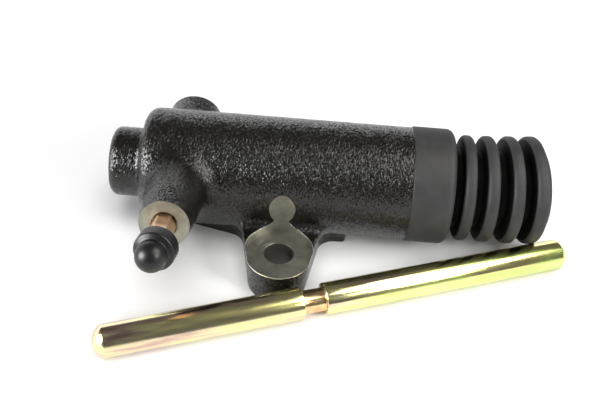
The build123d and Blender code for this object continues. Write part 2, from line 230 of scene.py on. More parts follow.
def ramp(tree, source, stops):
    """A colour ramp from (position, colour) stops."""
    made = tree.nodes.new("ShaderNodeValToRGB")
    while len(made.color_ramp.elements) < len(stops):
        made.color_ramp.elements.new(0.5)
    for element, (position, colour) in zip(made.color_ramp.elements, stops):
        element.position = position
        element.color = (*colour, 1)
    tree.links.new(source, made.inputs["Fac"])
    return made.outputs["Color"]


def bump(tree, source, strength, distance):
    """A normal bumped by a height, whose full range is the distance in metres."""
    made = tree.nodes.new("ShaderNodeBump")
    made.inputs["Strength"].default_value = strength
    made.inputs["Distance"].default_value = distance
    tree.links.new(source, made.inputs["Height"])
    return made.outputs["Normal"]


def grey(value):
    return (value, value, value)


def facets(tree, scale, tilt, normal, vector):
    """A normal that differs from one small random grain to the next."""
    cells = tree.nodes.new("ShaderNodeTexVoronoi")
    cells.inputs["Scale"].default_value = scale
    tree.links.new(vector, cells.inputs["Vector"])
    centred = tree.nodes.new("ShaderNodeVectorMath")
    centred.operation = "SUBTRACT"
    centred.inputs[1].default_value = (0.5, 0.5, 0.5)
    tree.links.new(cells.outputs["Color"], centred.inputs[0])
    scaled = tree.nodes.new("ShaderNodeVectorMath")
    scaled.operation = "SCALE"
    scaled.inputs["Scale"].default_value = tilt
    tree.links.new(centred.outputs["Vector"], scaled.inputs[0])
    total = tree.nodes.new("ShaderNodeVectorMath")
    total.operation = "ADD"
    tree.links.new(scaled.outputs["Vector"], total.inputs[0])
    tree.links.new(normal, total.inputs[1])
    unit = tree.nodes.new("ShaderNodeVectorMath")
    unit.operation = "NORMALIZE"
    tree.links.new(total.outputs["Vector"], unit.inputs[0])
    return unit.outputs["Vector"]


def cast_paint():
    """Glossy black paint over a rough casting, whose steep little grains catch the lamps."""
    made, tree, shader = material("cast_paint")
    shader.inputs["Roughness"].default_value = 0.235
    shader.inputs["Specular IOR Level"].default_value = 0.5
    stretched = tree.nodes.new("ShaderNodeMapping")
    stretched.inputs["Scale"].default_value = (1.5, 0.8, 0.8)
    tree.links.new(object_position(tree), stretched.inputs["Vector"])
    grain = stretched.outputs["Vector"]
    lumps = noise(tree, 1300.0, 2.0, 0.5, grain)
    colour = ramp(tree, lumps, [(0.38, (0.0015, 0.0012, 0.0010)), (0.66, (0.010, 0.0085, 0.0070))])
    tree.links.new(colour, shader.inputs["Base Color"])
    rough = bump(tree, lumps, 1.0, 0.00027)
    tree.links.new(facets(tree, 1850.0, 0.3, rough, grain), shader.inputs["Normal"])
    return made


def machined_iron(name, dark, light):
    """Bare cut iron, grey-brown, with faint tool marks."""
    made, tree, shader = material(name)
    shader.inputs["Metallic"].default_value = 0.75
    shader.inputs["Roughness"].default_value = 0.42
    blotches = noise(tree, 260.0, 4.0, 0.6)
    colour = ramp(tree, blotches, [(0.3, dark), (0.7, light)])
    tree.links.new(colour, shader.inputs["Base Color"])
    tree.links.new(bump(tree, noise(tree, 1800.0), 0.35, 0.00008), shader.inputs["Normal"])
    return made


def turned_iron():
    """The spot faces: bare iron with the cutter's rings around each bolt hole."""
    made, tree, shader = material("turned_iron")
    shader.inputs["Metallic"].default_value = 0.8
    shader.inputs["Roughness"].default_value = 0.34
    blotches = noise(tree, 260.0, 4.0, 0.6)
    colour = ramp(tree, blotches, [(0.3, (0.19, 0.183, 0.152)), (0.7, (0.30, 0.288, 0.245))])
    tree.links.new(colour, shader.inputs["Base Color"])
    axes = tree.nodes.new("ShaderNodeSeparateXYZ")
    tree.links.new(object_position(tree), axes.inputs["Vector"])
    side = tree.nodes.new("ShaderNodeMath")
    side.operation = "ABSOLUTE"
    tree.links.new(axes.outputs["Y"], side.inputs[0])
    from_hole = tree.nodes.new("ShaderNodeMath")
    from_hole.operation = "SUBTRACT"
    from_hole.inputs[1].default_value = HOLE_Y * MM
    tree.links.new(side.outputs["Value"], from_hole.inputs[0])
    flat = tree.nodes.new("ShaderNodeCombineXYZ")
    tree.links.new(axes.outputs["X"], flat.inputs["X"])
    tree.links.new(from_hole.outputs["Value"], flat.inputs["Y"])
    radius = tree.nodes.new("ShaderNodeVectorMath")
    radius.operation = "LENGTH"
    tree.links.new(flat.outputs["Vector"], radius.inputs[0])
    rings = tree.nodes.new("ShaderNodeTexNoise")
    rings.noise_dimensions = "1D"
    rings.inputs["Scale"].default_value = 5000.0
    rings.inputs["Detail"].default_value = 1.0
    tree.links.new(radius.outputs["Value"], rings.inputs["W"])
    tree.links.new(bump(tree, rings.outputs["Fac"], 1.0, 0.00007), shader.inputs["Normal"])
    return made


def boot_rubber(name, dark, light, shine):
    """Dull rubber with a little dust on it."""
    made, tree, shader = material(name)
    shader.inputs["Roughness"].default_value = 0.62
    shader.inputs["Specular IOR Level"].default_value = shine
    dust = noise(tree, 180.0, 5.0, 0.6)
    colour = ramp(tree, dust, [(0.3, grey(dark)), (0.7, grey(light))])
    tree.links.new(colour, shader.inputs["Base Color"])
    tree.links.new(bump(tree, noise(tree, 1500.0), 0.15, 0.00008), shader.inputs["Normal"])
    return made


def cap_rubber():
    """Smoother, blacker rubber that shows the lamps as soft spots."""
    made, tree, shader = material("cap_rubber")
    shader.inputs["Base Color"].default_value = (0.005, 0.005, 0.0055, 1)
    shader.inputs["Roughness"].default_value = 0.38
    shader.inputs["Specular IOR Level"].default_value = 0.38
    tree.links.new(bump(tree, noise(tree, 900.0), 0.08, 0.00008), shader.inputs["Normal"])
    return made


def copper_plating():
    """The bleeder screw's warm bright plating."""
    made, tree, shader = material("copper_plating")
    shader.inputs["Metallic"].default_value = 1.0
    shader.inputs["Roughness"].default_value = 0.3
    tone = noise(tree, 220.0, 3.0, 0.6)
    colour = ramp(tree, tone, [(0.3, (0.88, 0.52, 0.32)), (0.7, (0.98, 0.70, 0.48))])
    tree.links.new(colour, shader.inputs["Base Color"])
    return made


def zinc_plating():
    """Yellow zinc plating, streaked along the rod, brown and rose at its left, green at its right."""
    made, tree, shader = material("zinc_plating")
    shader.inputs["Metallic"].default_value = 1.0
    along_rod = tree.nodes.new("ShaderNodeMapping")
    along_rod.vector_type = "TEXTURE"
    along_rod.inputs["Rotation"].default_value = (0, 0, ROD_ANGLE)
    along_rod.inputs["Scale"].default_value = (9, 1, 1)
    tree.links.new(object_position(tree), along_rod.inputs["Vector"])
    streaks = noise(tree, 330.0, 4.0, 0.6, along_rod.outputs["Vector"])
    wear = ramp(tree, streaks, [(0.35, grey(0.13)), (0.65, grey(0.27))])
    tree.links.new(wear, shader.inputs["Roughness"])
    place = tree.nodes.new("ShaderNodeSeparateXYZ")
    tree.links.new(object_position(tree), place.inputs["Vector"])
    tone = tree.nodes.new("ShaderNodeMath")
    tone.operation = "MULTIPLY_ADD"
    tone.inputs[1].default_value = 2.2
    tree.links.new(place.outputs["X"], tone.inputs[0])
    tree.links.new(streaks, tone.inputs[2])
    stops = [
        (0.32, (0.58, 0.40, 0.33)), (0.42, (0.80, 0.67, 0.45)), (0.52, (0.81, 0.78, 0.38)),
        (0.62, (0.84, 0.76, 0.32)), (0.74, (0.62, 0.74, 0.24)),
    ]
    tree.links.new(ramp(tree, tone.outputs["Value"], stops), shader.inputs["Base Color"])
    tree.links.new(bump(tree, noise(tree, 700.0), 0.05, 0.0001), shader.inputs["Normal"])
    return made


def neck_plating():
    """The rod's neck, where the plating turned brown."""
    made, tree, shader = material("neck_plating")
    shader.inputs["Metallic"].default_value = 1.0
    shader.inputs["Roughness"].default_value = 0.2
    tone = noise(tree, 500.0, 2.0, 0.5)
    colour = ramp(tree, tone, [(0.35, (0.72, 0.42, 0.22)), (0.62, (0.85, 0.68, 0.34))])
    tree.links.new(colour, shader.inputs["Base Color"])
    return made


def plain_metal(name, colour, roughness):
    """One even metal colour with a fine bump."""
    made, tree, shader = material(name)
    shader.inputs["Metallic"].default_value = 1.0
    shader.inputs["Roughness"].default_value = roughness
    shader.inputs["Base Color"].default_value = (*colour, 1)
    tree.links.new(bump(tree, noise(tree, 1200.0), 0.1, 0.00005), shader.inputs["Normal"])
    return made


def seal_rubber():
    made, tree, shader = material("seal_rubber")
    shader.inputs["Base Color"].default_value = (0.012, 0.012, 0.013, 1)
    shader.inputs["Roughness"].default_value = 0.45
    return made


CAST = cast_paint()
IRON = machined_iron("machined_iron", (0.205, 0.20, 0.160), (0.35, 0.345, 0.285))
# Darker bare iron for the bolt holes' walls: painted shade inside the holes
HOLE_SHADE = machined_iron("bolt_hole_iron_painted_shade", (0.09, 0.085, 0.072), (0.15, 0.14, 0.12))
TURNED = turned_iron()
BURR = plain_metal("burr_bright", (0.66, 0.64, 0.58), 0.4)
BOOT = boot_rubber("boot_rubber", 0.017, 0.028, 0.4)
# Near-black, less shiny rubber for the bellows' grooves: painted shade in the grooves
GROOVE_SHADE = boot_rubber("boot_groove_painted_shade", 0.002, 0.004, 0.08)
CAP = cap_rubber()
COPPER = copper_plating()
ZINC = zinc_plating()
NECK = neck_plating()
SPRING = plain_metal("spring_steel", (0.52, 0.52, 0.54), 0.3)
ALLOY = plain_metal("piston_alloy", (0.72, 0.73, 0.75), 0.28)
RING = plain_metal("ring_steel", (0.10, 0.10, 0.11), 0.4)
SEAL = seal_rubber()


# The casting, as a distance field that is meshed on a fine grid

GRID_STEP = 0.5
END_ROUND = 4.0
CHUCK_R = 11.0
CHUCK_REACH = 10.3
CHUCK_ROUND = 2.6
CHUCK_FILLET = 1.8
BLEEDER_BOSS_R = 7.3
BLEEDER_BOSS_DRAFT = math.radians(2.8)
BLEEDER_BOSS_FLARE = 0.09
BLEEDER_BOSS_FILLET = 4.4
FLARE_LENGTH = 8
INLET_BOSS_R = 8.75
INLET_BOSS_DRAFT = math.radians(1.5)
INLET_BOSS_FILLET = 3.2
WALL_DRAFT = math.radians(4.2)
EAR_FOOT_R = 9.1
EAR_TOP_Z = 12.6
EAR_EDGE = 0.9
EAR_WEB_FILLET = 4.5
PAD_HALF = 8.5
PAD_REACH = (-31.0, 21.0)
PAD_CORNER = 1.6
PAD_TAPER_X = -17.0
PAD_TAPER = 0.26
FLANGE_MID_R = 14.3
# What the cutters take off again, how deep the cast skin waves, and from what depth iron is bare
FACE_STOCK = 1.0
BASE_STOCK = 1.5
SKIN_WAVE = 0.05
BARE_DEPTH = 0.045


def round_edge(a, b, edge):
    """Distance to what lies inside both distances, with a rounded edge where they meet."""
    a = a + edge
    b = b + edge
    return np.minimum(np.maximum(a, b), 0) + np.hypot(np.maximum(a, 0), np.maximum(b, 0)) - edge


def bar(x, rho, start, end, radius, edge):
    """Distance to a round bar along X with rounded end edges."""
    return round_edge(np.maximum(start - x, x - end), rho - radius, edge)


def blend(a, b, radius):
    """Union of two distances with a round fillet of that radius."""
    u = np.maximum(radius - a, 0)
    v = np.maximum(radius - b, 0)
    return np.maximum(np.minimum(a, b), radius) - np.hypot(u, v)


def boss(x, y, z, out, reach, face_radius, draft, flare=0.0):
    """Distance to a drafted round boss from the port point, a little flared behind its face."""
    dx, dy, dz = x - PORT_X, y, z - AXIS_Z
    along = dx * out[0] + dy * out[1] + dz * out[2]
    across = np.sqrt(np.maximum(dx * dx + dy * dy + dz * dz - along * along, 0))
    behind = reach - along
    wide = face_radius + behind * math.tan(draft) + np.clip(behind, 0, FLARE_LENGTH) * flare
    side = (across - wide) * math.cos(draft)
    return np.maximum(np.maximum(side, along - reach - FACE_STOCK), -along)


def flange(x, y, z):
    """Distance to the flange: two ears, their web and the long pad, all drafted."""
    reach = np.abs(y)
    ear_y = HOLE_Y + EAR_OFFSET
    lean = (FLANGE_MID_R - EAR_FOOT_R) / ear_y
    rise = math.sqrt(1 - lean * lean)
    along = reach * rise + np.abs(x) * -lean
    side = np.abs(x) * rise + reach * lean - FLANGE_MID_R
    tip = np.hypot(x, reach - ear_y) - EAR_FOOT_R
    ears = np.where(along > ear_y * rise, tip, side)
    half_width = PAD_HALF - np.maximum(PAD_TAPER_X - x, 0) * PAD_TAPER
    pad_ends = np.maximum(x - PAD_REACH[1], PAD_REACH[0] - x)
    pad = round_edge(pad_ends, reach - half_width, PAD_CORNER)
    outline = blend(ears, pad, EAR_WEB_FILLET) - z * math.tan(WALL_DRAFT)
    slab = round_edge(z - EAR_TOP_Z, outline, EAR_EDGE)
    return np.maximum(slab, -z - BASE_STOCK)


def casting(x, y, z):
    """Distance to the whole casting before machining."""
    rho = np.hypot(y, z - AXIS_Z)
    body = bar(x, rho, END_X, MOUTH_X + 2, BODY_R, END_ROUND)
    chuck = bar(x, rho, END_X - CHUCK_REACH, 0.0, CHUCK_R, CHUCK_ROUND)
    bleeder = boss(
        x, y, z, BLEEDER_OUT, BLEEDER_REACH, BLEEDER_BOSS_R, BLEEDER_BOSS_DRAFT, BLEEDER_BOSS_FLARE,
    )
    inlet = boss(x, y, z, Y_AXIS, INLET_REACH, INLET_BOSS_R, INLET_BOSS_DRAFT)
    shape = blend(body, chuck, CHUCK_FILLET)
    shape = blend(shape, bleeder, BLEEDER_BOSS_FILLET)
    shape = blend(shape, inlet, INLET_BOSS_FILLET)
    # The flange's fillet grows from 2 mm under the body to 3.5 mm at the ears
    shape = blend(shape, flange(x, y, z), 2.0 + 1.5 * np.clip((np.abs(y) - 9) / 5, 0, 1))
    ripple = np.sin(0.9 * x + 1.3) * np.sin(0.8 * y + 0.4) * np.sin(1.1 * z)
    return shape + SKIN_WAVE * (1.0 + ripple)


def surface_net(field, low, high, step):
    """Quads on the zero surface of a field, with their points pulled onto it."""
    axes = [np.arange(low[i], high[i] + step, step, dtype=np.float32) for i in range(3)]
    values = field(*np.meshgrid(*axes, indexing="ij", sparse=True)).astype(np.float32)
    inside = values < 0
    cells = tuple(np.array(values.shape) - 1)
    total = np.zeros(cells, np.int8)
    offsets = [(i, j, k) for i in (0, 1) for j in (0, 1) for k in (0, 1)]
    for i, j, k in offsets:
        total += inside[i:cells[0] + i, j:cells[1] + j, k:cells[2] + k]
    active = np.argwhere((total > 0) & (total < 8))
    index = np.full(cells, -1, np.int32)
    index[tuple(active.T)] = np.arange(len(active))
    points = np.zeros((len(active), 3))
    hits = np.zeros(len(active))
    for first in offsets:
        for axis in range(3):
            if first[axis]:
                continue
            second = list(first)
            second[axis] = 1
            a = values[tuple((active + first).T)]
            b = values[tuple((active + second).T)]
            cross = (a < 0) != (b < 0)
            share = np.where(cross, a / np.where(cross, a - b, 1), 0)
            place = np.array(first, float)[None, :].repeat(len(active), 0)
            place[:, axis] = share
            points[cross] += place[cross]
            hits += cross
    points = np.array([axis[0] for axis in axes]) + (active + points / hits[:, None]) * step
    faces = []
    for axis in range(3):
        others = [i for i in range(3) if i != axis]
        near = [slice(1, cells[i]) for i in range(3)]
        near[axis] = slice(0, cells[axis])
        far = list(near)
        far[axis] = slice(1, cells[axis] + 1)
        a = inside[tuple(near)]
        b = inside[tuple(far)]
        places = np.argwhere(a != b)
        flip = b[tuple(places.T)]
        places += [1 if i != axis else 0 for i in range(3)]
        quad = []
        for du, dv in ((0, 0), (1, 0), (1, 1), (0, 1)):
            cell = places.copy()
            cell[:, others[0]] -= du
            cell[:, others[1]] -= dv
            quad.append(index[tuple(cell.T)])
        quad = np.stack(quad, 1)
        if axis == 1:
            flip = ~flip
        quad[flip] = quad[flip][:, ::-1]
        faces.append(quad)
    nudge = 0.02
    for _ in range(3):
        here = field(*points.T)
        ahead = [field(*(points + nudge * np.eye(3)[i]).T) for i in range(3)]
        slope = np.stack([value - here for value in ahead], 1) / nudge
        points -= slope * (here / np.maximum((slope ** 2).sum(1), 0.05))[:, None]
    return points, np.concatenate(faces)


def cut(target, cutters):
    """Takes the cutters out of the target and keeps the result as its mesh."""
    for cutter in cutters:
        change = target.modifiers.new(cutter.name, "BOOLEAN")
        change.operation = "DIFFERENCE"
        change.solver = "MANIFOLD"
        change.object = cutter
    evaluated = target.evaluated_get(bpy.context.evaluated_depsgraph_get())
    result = bpy.data.meshes.new_from_object(evaluated)
    target.modifiers.clear()
    target.data = result
    for cutter in cutters:
        bpy.data.objects.remove(cutter)


def bare_cut_faces(target):
    """Gives bare iron to every face that lies below the cast skin, with a crisp edge around it. The
    bolt holes' walls get a darker iron, which is painted shade inside the holes.
    """
    mesh = target.data
    mesh.materials.clear()
    for kind in (CAST, IRON, TURNED, HOLE_SHADE):
        mesh.materials.append(kind)
    centres = np.empty(len(mesh.polygons) * 3)
    mesh.polygons.foreach_get("center", centres)
    centres = centres.reshape(-1, 3) / MM
    bare = casting(*centres.T) < -BARE_DEPTH
    spot = bare & (np.abs(centres[:, 2] - EAR_FACE_Z) < 0.02)
    from_hole = np.hypot(centres[:, 0], np.abs(centres[:, 1]) - HOLE_Y)
    # The bolt holes' walls get the darker iron, painted shade inside the holes
    hole = bare & (from_hole < HOLE_R + 0.15) & (centres[:, 2] < EAR_FACE_Z)
    mesh.polygons.foreach_set("material_index", bare.astype(int) + spot + 2 * hole)
    shell = bmesh.new()
    shell.from_mesh(mesh)
    for edge in shell.edges:
        if len({face.material_index for face in edge.link_faces}) > 1:
            edge.smooth = False
    shell.to_mesh(mesh)
    shell.free()


def make_burr(housing):
    """The thin bright lip that the cutter threw up along the rim of each spot face."""
    shell = bmesh.new()
    shell.from_mesh(housing.data)
    points = []
    faces = []
    for edge in shell.edges:
        kinds = {face.material_index for face in edge.link_faces}
        if len(kinds) < 2 or 0 not in kinds:
            continue
        ends = [np.array(corner.co) / MM for corner in edge.verts]
        middle = (ends[0] + ends[1]) / 2
        reach = math.hypot(middle[0], abs(middle[1]) - HOLE_Y - SPOT_OFFSET)
        # The spot face's outer rim, or the low end of the cutter's wall in the body's flank
        outer = 2 in kinds and abs(middle[2] - EAR_FACE_Z) < 0.05
        inner = abs(reach - SPOT_R) < 0.08 and EAR_FACE_Z < middle[2] < 14.5
        if not outer and not inner:
            continue
        hole_y = math.copysign(HOLE_Y, middle[1])
        out = np.array([middle[0], middle[1] - hole_y, 0.0]) / max(reach, 1.0)
        start = len(points)
        for end in ends:
            turn = math.atan2(abs(end[1]) - HOLE_Y, end[0])
            wobble = 0.5 + 0.3 * math.sin(9 * turn) + 0.2 * math.sin(31 * turn + 1)
            size = 0.05 + 0.13 * wobble if outer else 0.04 + 0.05 * wobble
            points.append(end - out * size)
            points.append(end + np.array([0, 0, size]))
            points.append(end + out * size * 0.5 - np.array([0, 0, size * 0.6]))
        for k in range(3):
            n = (k + 1) % 3
            faces.append([start + k, start + n, start + 3 + n, start + 3 + k])
    shell.free()
    made = add_object("spot_face_burr", points, faces, 60.0)
    made.data.materials.append(BURR)
    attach(made, "cylinder")


def make_housing():
    """The casting, machined with the same cutters as the real one."""
    points, faces = surface_net(casting, (-57.0, -44.5, -2.5), (55.0, 39.5, 39.5), GRID_STEP)
    made = add_object("housing_casting", points, faces.tolist(), 60.0)
    hole = [
        (-3, 0), (-3, HOLE_R), (EAR_FACE_Z - 0.2, HOLE_R), (EAR_FACE_Z, HOLE_R + 0.2),
        (EAR_FACE_Z + 1, HOLE_R + 0.2), (EAR_FACE_Z + 1, 0),
    ]
    spot = [(EAR_FACE_Z, 0), (EAR_FACE_Z, SPOT_R), (42, SPOT_R), (42, 0)]
    ears = []
    for side in (-1, 1):
        spot_y = side * (HOLE_Y + SPOT_OFFSET)
        ears.append(lathe(f"spot_cut_{side}", spot, Vector((0, spot_y, 0)), Z_AXIS))
        ears.append(lathe(f"hole_cut_{side}", hole, Vector((0, side * HOLE_Y, 0)), Z_AXIS))
    base_half = [(-6, 0), (-6, 80), (0, 80), (0, 0)]
    base = lathe("base_cut", base_half, Vector((0, 0, 0)), Z_AXIS, steps=16)
    neck = [
        (SHOULDER_X, 30), (SHOULDER_X, NECK_R), (NECK_GROOVE_X[0], NECK_R),
        (NECK_GROOVE_X[0], NECK_GROOVE_R), (NECK_GROOVE_X[1], NECK_GROOVE_R),
        (NECK_GROOVE_X[1], NECK_R), (MOUTH_X - 0.4, NECK_R), (MOUTH_X, NECK_R - 0.4), (MOUTH_X, 30),
    ]
    neck_cut = lathe("neck_cut", neck, BORE_ORIGIN, X_AXIS, closed=True)
    bore = [
        (-40, 0), (-37, BORE_R), (RING_GROOVE_X[0], BORE_R), (RING_GROOVE_X[0], RING_GROOVE_R),
        (RING_GROOVE_X[1], RING_GROOVE_R), (RING_GROOVE_X[1], BORE_R), (MOUTH_X - 0.8, BORE_R),
        (MOUTH_X, BORE_R + 0.8), (MOUTH_X, 40), (60, 40), (60, 0),
    ]
    bore_cut = lathe("bore_cut", bore, BORE_ORIGIN, X_AXIS)
    seat = [
        (-31, 0), (-31, 1.4), (-15, 1.4), (-15, 3.4), (-1.2, 3.4), (-1.2, 3.85), (-0.1, 3.85),
        (0, 3.95), (0, 14), (8, 14), (8, 0),
    ]
    seat_cut = lathe("seat_cut", seat, SEAT, BLEEDER_OUT)
    inlet = [
        (-22, 0), (-22, 1.5), (-11, 1.5), (-11, 4.45), (-0.5, 4.45), (0, 5.0),
        (0, 14), (8, 14), (8, 0),
    ]
    inlet_cut = lathe("inlet_cut", inlet, INLET_FACE, Y_AXIS)
    inlet_thread = threaded("inlet_thread", -10.6, 0.4, 4.3, 5.0, 1.0, INLET_FACE, Y_AXIS)
    cut(made, ears + [base, neck_cut, bore_cut, seat_cut, inlet_cut, inlet_thread])
    made.data.polygons.foreach_set("use_smooth", [True] * len(made.data.polygons))
    made.data.set_sharp_from_angle(angle=math.radians(35))
    bare_cut_faces(made)
    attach(made, "cylinder")
    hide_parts("housing")
    make_burr(made)


# Turned and moulded pieces

BAND_R = 18.35
BAND_END = 51.9
CRESTS_X = [56.6, 63.3, 70.75, 77.65]
CRESTS_R = [16.85, 17.0, 17.15, 17.25]
VALLEYS_X = [53.7, 60.0, 67.1, 74.25]
VALLEY_R = 12.0
BOOT_WALL = 1.8
BOOT_END = CRESTS_X[-1] + 3.5
COLLAR_R = 6.4
COLLAR_HOLE_R = 3.5
COLLAR_LENGTH = 5.2
BEND_START = 53.0
BEND_PER_MM = 7.3 / 28.0


def bend_boot(points):
    """The boot's free end hangs a little off to the back: its rings turn more and more."""
    out = np.array(points)
    reach = np.maximum(out[:, 0] - BEND_START, 0)
    angle = np.radians(BEND_PER_MM * reach)
    across = out[:, 1]
    centre_x = BEND_START + np.where(reach > 0, np.sin(angle) / np.maximum(angle, 1e-6) * reach, 0)
    centre_y = reach * angle / 2
    moved = reach > 0
    new_x = centre_x - across * np.sin(angle)
    new_y = centre_y + across * np.cos(angle)
    out[moved, 0] = new_x[moved]
    out[moved, 1] = new_y[moved]
    return out


def make_boot():
    """The bellows: outside from the neck to the collar, and back along the inside."""
    start = SHOULDER_X + 0.02
    grip_r = NECK_R + BOOT_FIT
    bead_r = NECK_GROOVE_R + BOOT_FIT
    bead_x = (NECK_GROOVE_X[0] + 0.1, NECK_GROOVE_X[1] - 0.1)
    rings = list(zip(CRESTS_X, CRESTS_R, VALLEYS_X))
    profile = [(start, grip_r), (start, BAND_R, 0.5), (BAND_END, BAND_R, 2.4)]
    for crest, radius, valley in rings:
        profile += [
            (valley - 1.0, VALLEY_R, 0.5), (valley + 1.0, VALLEY_R, 0.5),
            (crest - 1.6, radius, 1.3), (crest + 1.6, radius, 1.3),
        ]
    profile += [
        (BOOT_END - 0.2, 14.0, 0.8), (BOOT_END - 1.6, COLLAR_R, 0.4), (BOOT_END, COLLAR_R, 0.3),
        (BOOT_END, COLLAR_HOLE_R, 0.3), (BOOT_END - COLLAR_LENGTH, COLLAR_HOLE_R, 0.3),
        (BOOT_END - COLLAR_LENGTH, COLLAR_R, 0.3), (BOOT_END - 3.4, COLLAR_R, 0.3),
        (BOOT_END - 2.0, 12.2, 0.8),
    ]
    for crest, radius, valley in reversed(rings):
        profile += [
            (crest + 0.5, radius - BOOT_WALL, 0.3), (crest - 0.5, radius - BOOT_WALL, 0.3),
            (valley + 1.6, VALLEY_R - BOOT_WALL, 0.4), (valley - 1.6, VALLEY_R - BOOT_WALL, 0.4),
        ]
    # The last point gives way to the face before the neck's end, and the bead follows
    profile[-1] = (MOUTH_X + BOOT_FIT, VALLEY_R - BOOT_WALL)
    profile += [
        (MOUTH_X + BOOT_FIT, grip_r), (bead_x[1], grip_r), (bead_x[1], bead_r),
        (bead_x[0], bead_r), (bead_x[0], grip_r),
    ]
    outline = rounded(profile, closed=True, steps=6)
    made = lathe("boot_bellows", outline, BORE_ORIGIN, X_AXIS, closed=True, steps=160)
    points = np.empty(len(made.data.vertices) * 3)
    made.data.vertices.foreach_get("co", points)
    made.data.materials.append(BOOT)
    made.data.materials.append(GROOVE_SHADE)
    # Below the rings' rims the grooves get the near-black rubber, a painted shade in the grooves
    for face in made.data.polygons:
        off_axis = math.hypot(face.center.y, face.center.z - AXIS_Z * MM) / MM
        face.material_index = int(off_axis < CRESTS_R[0] - 1.1)
    bent = bend_boot(points.reshape(-1, 3) / MM) * MM
    made.data.vertices.foreach_set("co", bent.ravel())
    made.data.update()
    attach(made, "cylinder")
    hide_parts("boot")


def make_rod():
    """The push rod, with a dome of 3 mm height at both ends."""
    dome = 3.0
    sphere = (ROD_R ** 2 + dome ** 2) / (2 * dome)
    angles = [math.asin(ROD_R / sphere) * k / 12 for k in range(13)]
    left = [(sphere - sphere * math.cos(angle), sphere * math.sin(angle)) for angle in angles]
    right = [(ROD_LENGTH - along, radius) for along, radius in reversed(left)]
    near, far = ROD_NECK
    neck = rounded([
        (58, ROD_R), (near, ROD_R, 0.5), (near, ROD_NECK_R, 0.2), (far, ROD_NECK_R, 0.2),
        (far, ROD_R, 0.5), (74, ROD_R),
    ], steps=6)
    made = lathe("rod_plated", left + neck + right, ROD_TIP, ROD_AXIS, steps=96, sharp_deg=50)
    made.data.materials.append(ZINC)
    made.data.materials.append(NECK)
    for face in made.data.polygons:
        reach = face.center / MM - ROD_TIP
        along = reach.dot(ROD_AXIS)
        off_axis = (reach - ROD_AXIS * along).length
        if near - 0.7 < along < far + 0.7 and off_axis < ROD_NECK_R + 0.6:
            face.material_index = 1
    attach(made, "cylinder")
    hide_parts("push_rod")


def make_hexagon():
    """The screw's hexagon, whose corners and chamfers are turned down to a limit at each height."""
    first, second = directions(BLEEDER_OUT)
    steps = 180
    half_flat = 3.1
    turn = math.radians(30.0)
    heights = [-0.9, -0.9, -0.6, -0.3, 10.6, 10.9, 11.1, 11.3, 11.5, 11.5]
    limits = [2.0, 3.2, 3.35, 3.5, 3.5, 3.45, 3.38, 3.28, 3.15, 2.0]
    points = []
    for height, limit in zip(heights, limits):
        centre = SEAT + BLEEDER_OUT * height
        for step in range(steps):
            angle = 2 * math.pi * step / steps
            side = (angle - turn + math.pi / 6) % (math.pi / 3) - math.pi / 6
            radius = min(half_flat / math.cos(side), limit)
            across = first * (radius * math.cos(angle))
            points.append(tuple(centre + across + second * (radius * math.sin(angle))))
    faces = []
    for row in range(len(heights) - 1):
        for i in range(steps):
            j = (i + 1) % steps
            low = row * steps
            faces.append([low + steps + j, low + steps + i, low + i, low + j])
    return add_object("bleeder_hexagon", points, faces, 18.0)


def make_bleeder():
    """The bleeder screw: its turned core with the nipple, its thread and its hexagon."""
    outline = rounded([
        (-14, 0), (-14, 1.4), (-11.4, 2.7), (-11.4, 3.0), (-0.9, 3.0), (-0.9, 2.3), (14.0, 2.3),
        (14.8, 2.95, 0.2), (15.8, 2.95, 0.3), (20.2, 2.0), (20.2, 0.9), (12.0, 0.9), (12.0, 0),
    ])
    stem = lathe("bleeder_stem", outline, SEAT, BLEEDER_OUT, steps=64)
    thread = threaded("bleeder_thread", -11.4, -1.3, 3.0, 3.38, 1.0, SEAT, BLEEDER_OUT)
    for piece in (stem, thread, make_hexagon()):
        piece.data.materials.append(COPPER)
        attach(piece, "bleeder")
    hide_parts("bleeder_screw")


def make_cap():
    """The rubber cap, a hollow skirt with a ball on it, which sits a little askew on the nipple."""
    skirt_end = 16.25
    ball_r = 4.4
    ball_at = 18.6
    lean = (BLEEDER_OUT + Vector((-0.13, 0, 0))).normalized()
    origin = SEAT + (BLEEDER_OUT - lean) * CAP_RIM + X_AXIS * 0.45
    start = math.acos((ball_at - 17.0) / ball_r)
    angles = np.linspace(start, math.pi, 24)
    ball = [(ball_at - ball_r * math.cos(a), ball_r * math.sin(a)) for a in angles]
    outline = rounded([
        (20.9, 0), (20.9, 3.0, 0.8), (17.5, 3.5, 0.6), (CAP_RIM, 3.5, 0.25), (CAP_RIM, 5.85, 0.4),
        (skirt_end, 5.8, 0.8), (17.0, ball[0][1], 0.35), (17.6, ball[3][1]),
    ])
    made = lathe("dust_cap", outline[:-1] + ball[3:], origin, lean, steps=96, sharp_deg=60)
    made.data.materials.append(CAP)
    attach(made, "cap")
    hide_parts("bleeder_cap")


def make_spring():
    """The return spring, round wire swept along its helix."""
    start, end = -36.25, 10.8
    mean, wire, turns = 7.6, 0.75, 7.5
    steps = int(turns * 40)
    ring = 12
    points = []
    for step in range(steps + 1):
        share = step / steps
        angle = 2 * math.pi * turns * share
        x = start + (end - start) * share
        out = np.array([0, math.cos(angle), math.sin(angle)])
        for k in range(ring):
            turn = 2 * math.pi * k / ring
            spot = np.array([x, 0, AXIS_Z]) + out * (mean + wire * math.cos(turn))
            points.append(spot + np.array([wire * math.sin(turn), 0, 0]))
    faces = []
    for step in range(steps):
        for k in range(ring):
            j = (k + 1) % ring
            low = step * ring
            faces.append([low + k, low + j, low + ring + j, low + ring + k])
    faces.append(list(range(ring))[::-1])
    faces.append(list(range(steps * ring, steps * ring + ring)))
    made = add_object("spring_coil", points, faces, 60.0)
    made.data.materials.append(SPRING)
    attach(made, "cylinder")
    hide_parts("return_spring")
    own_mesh(made)


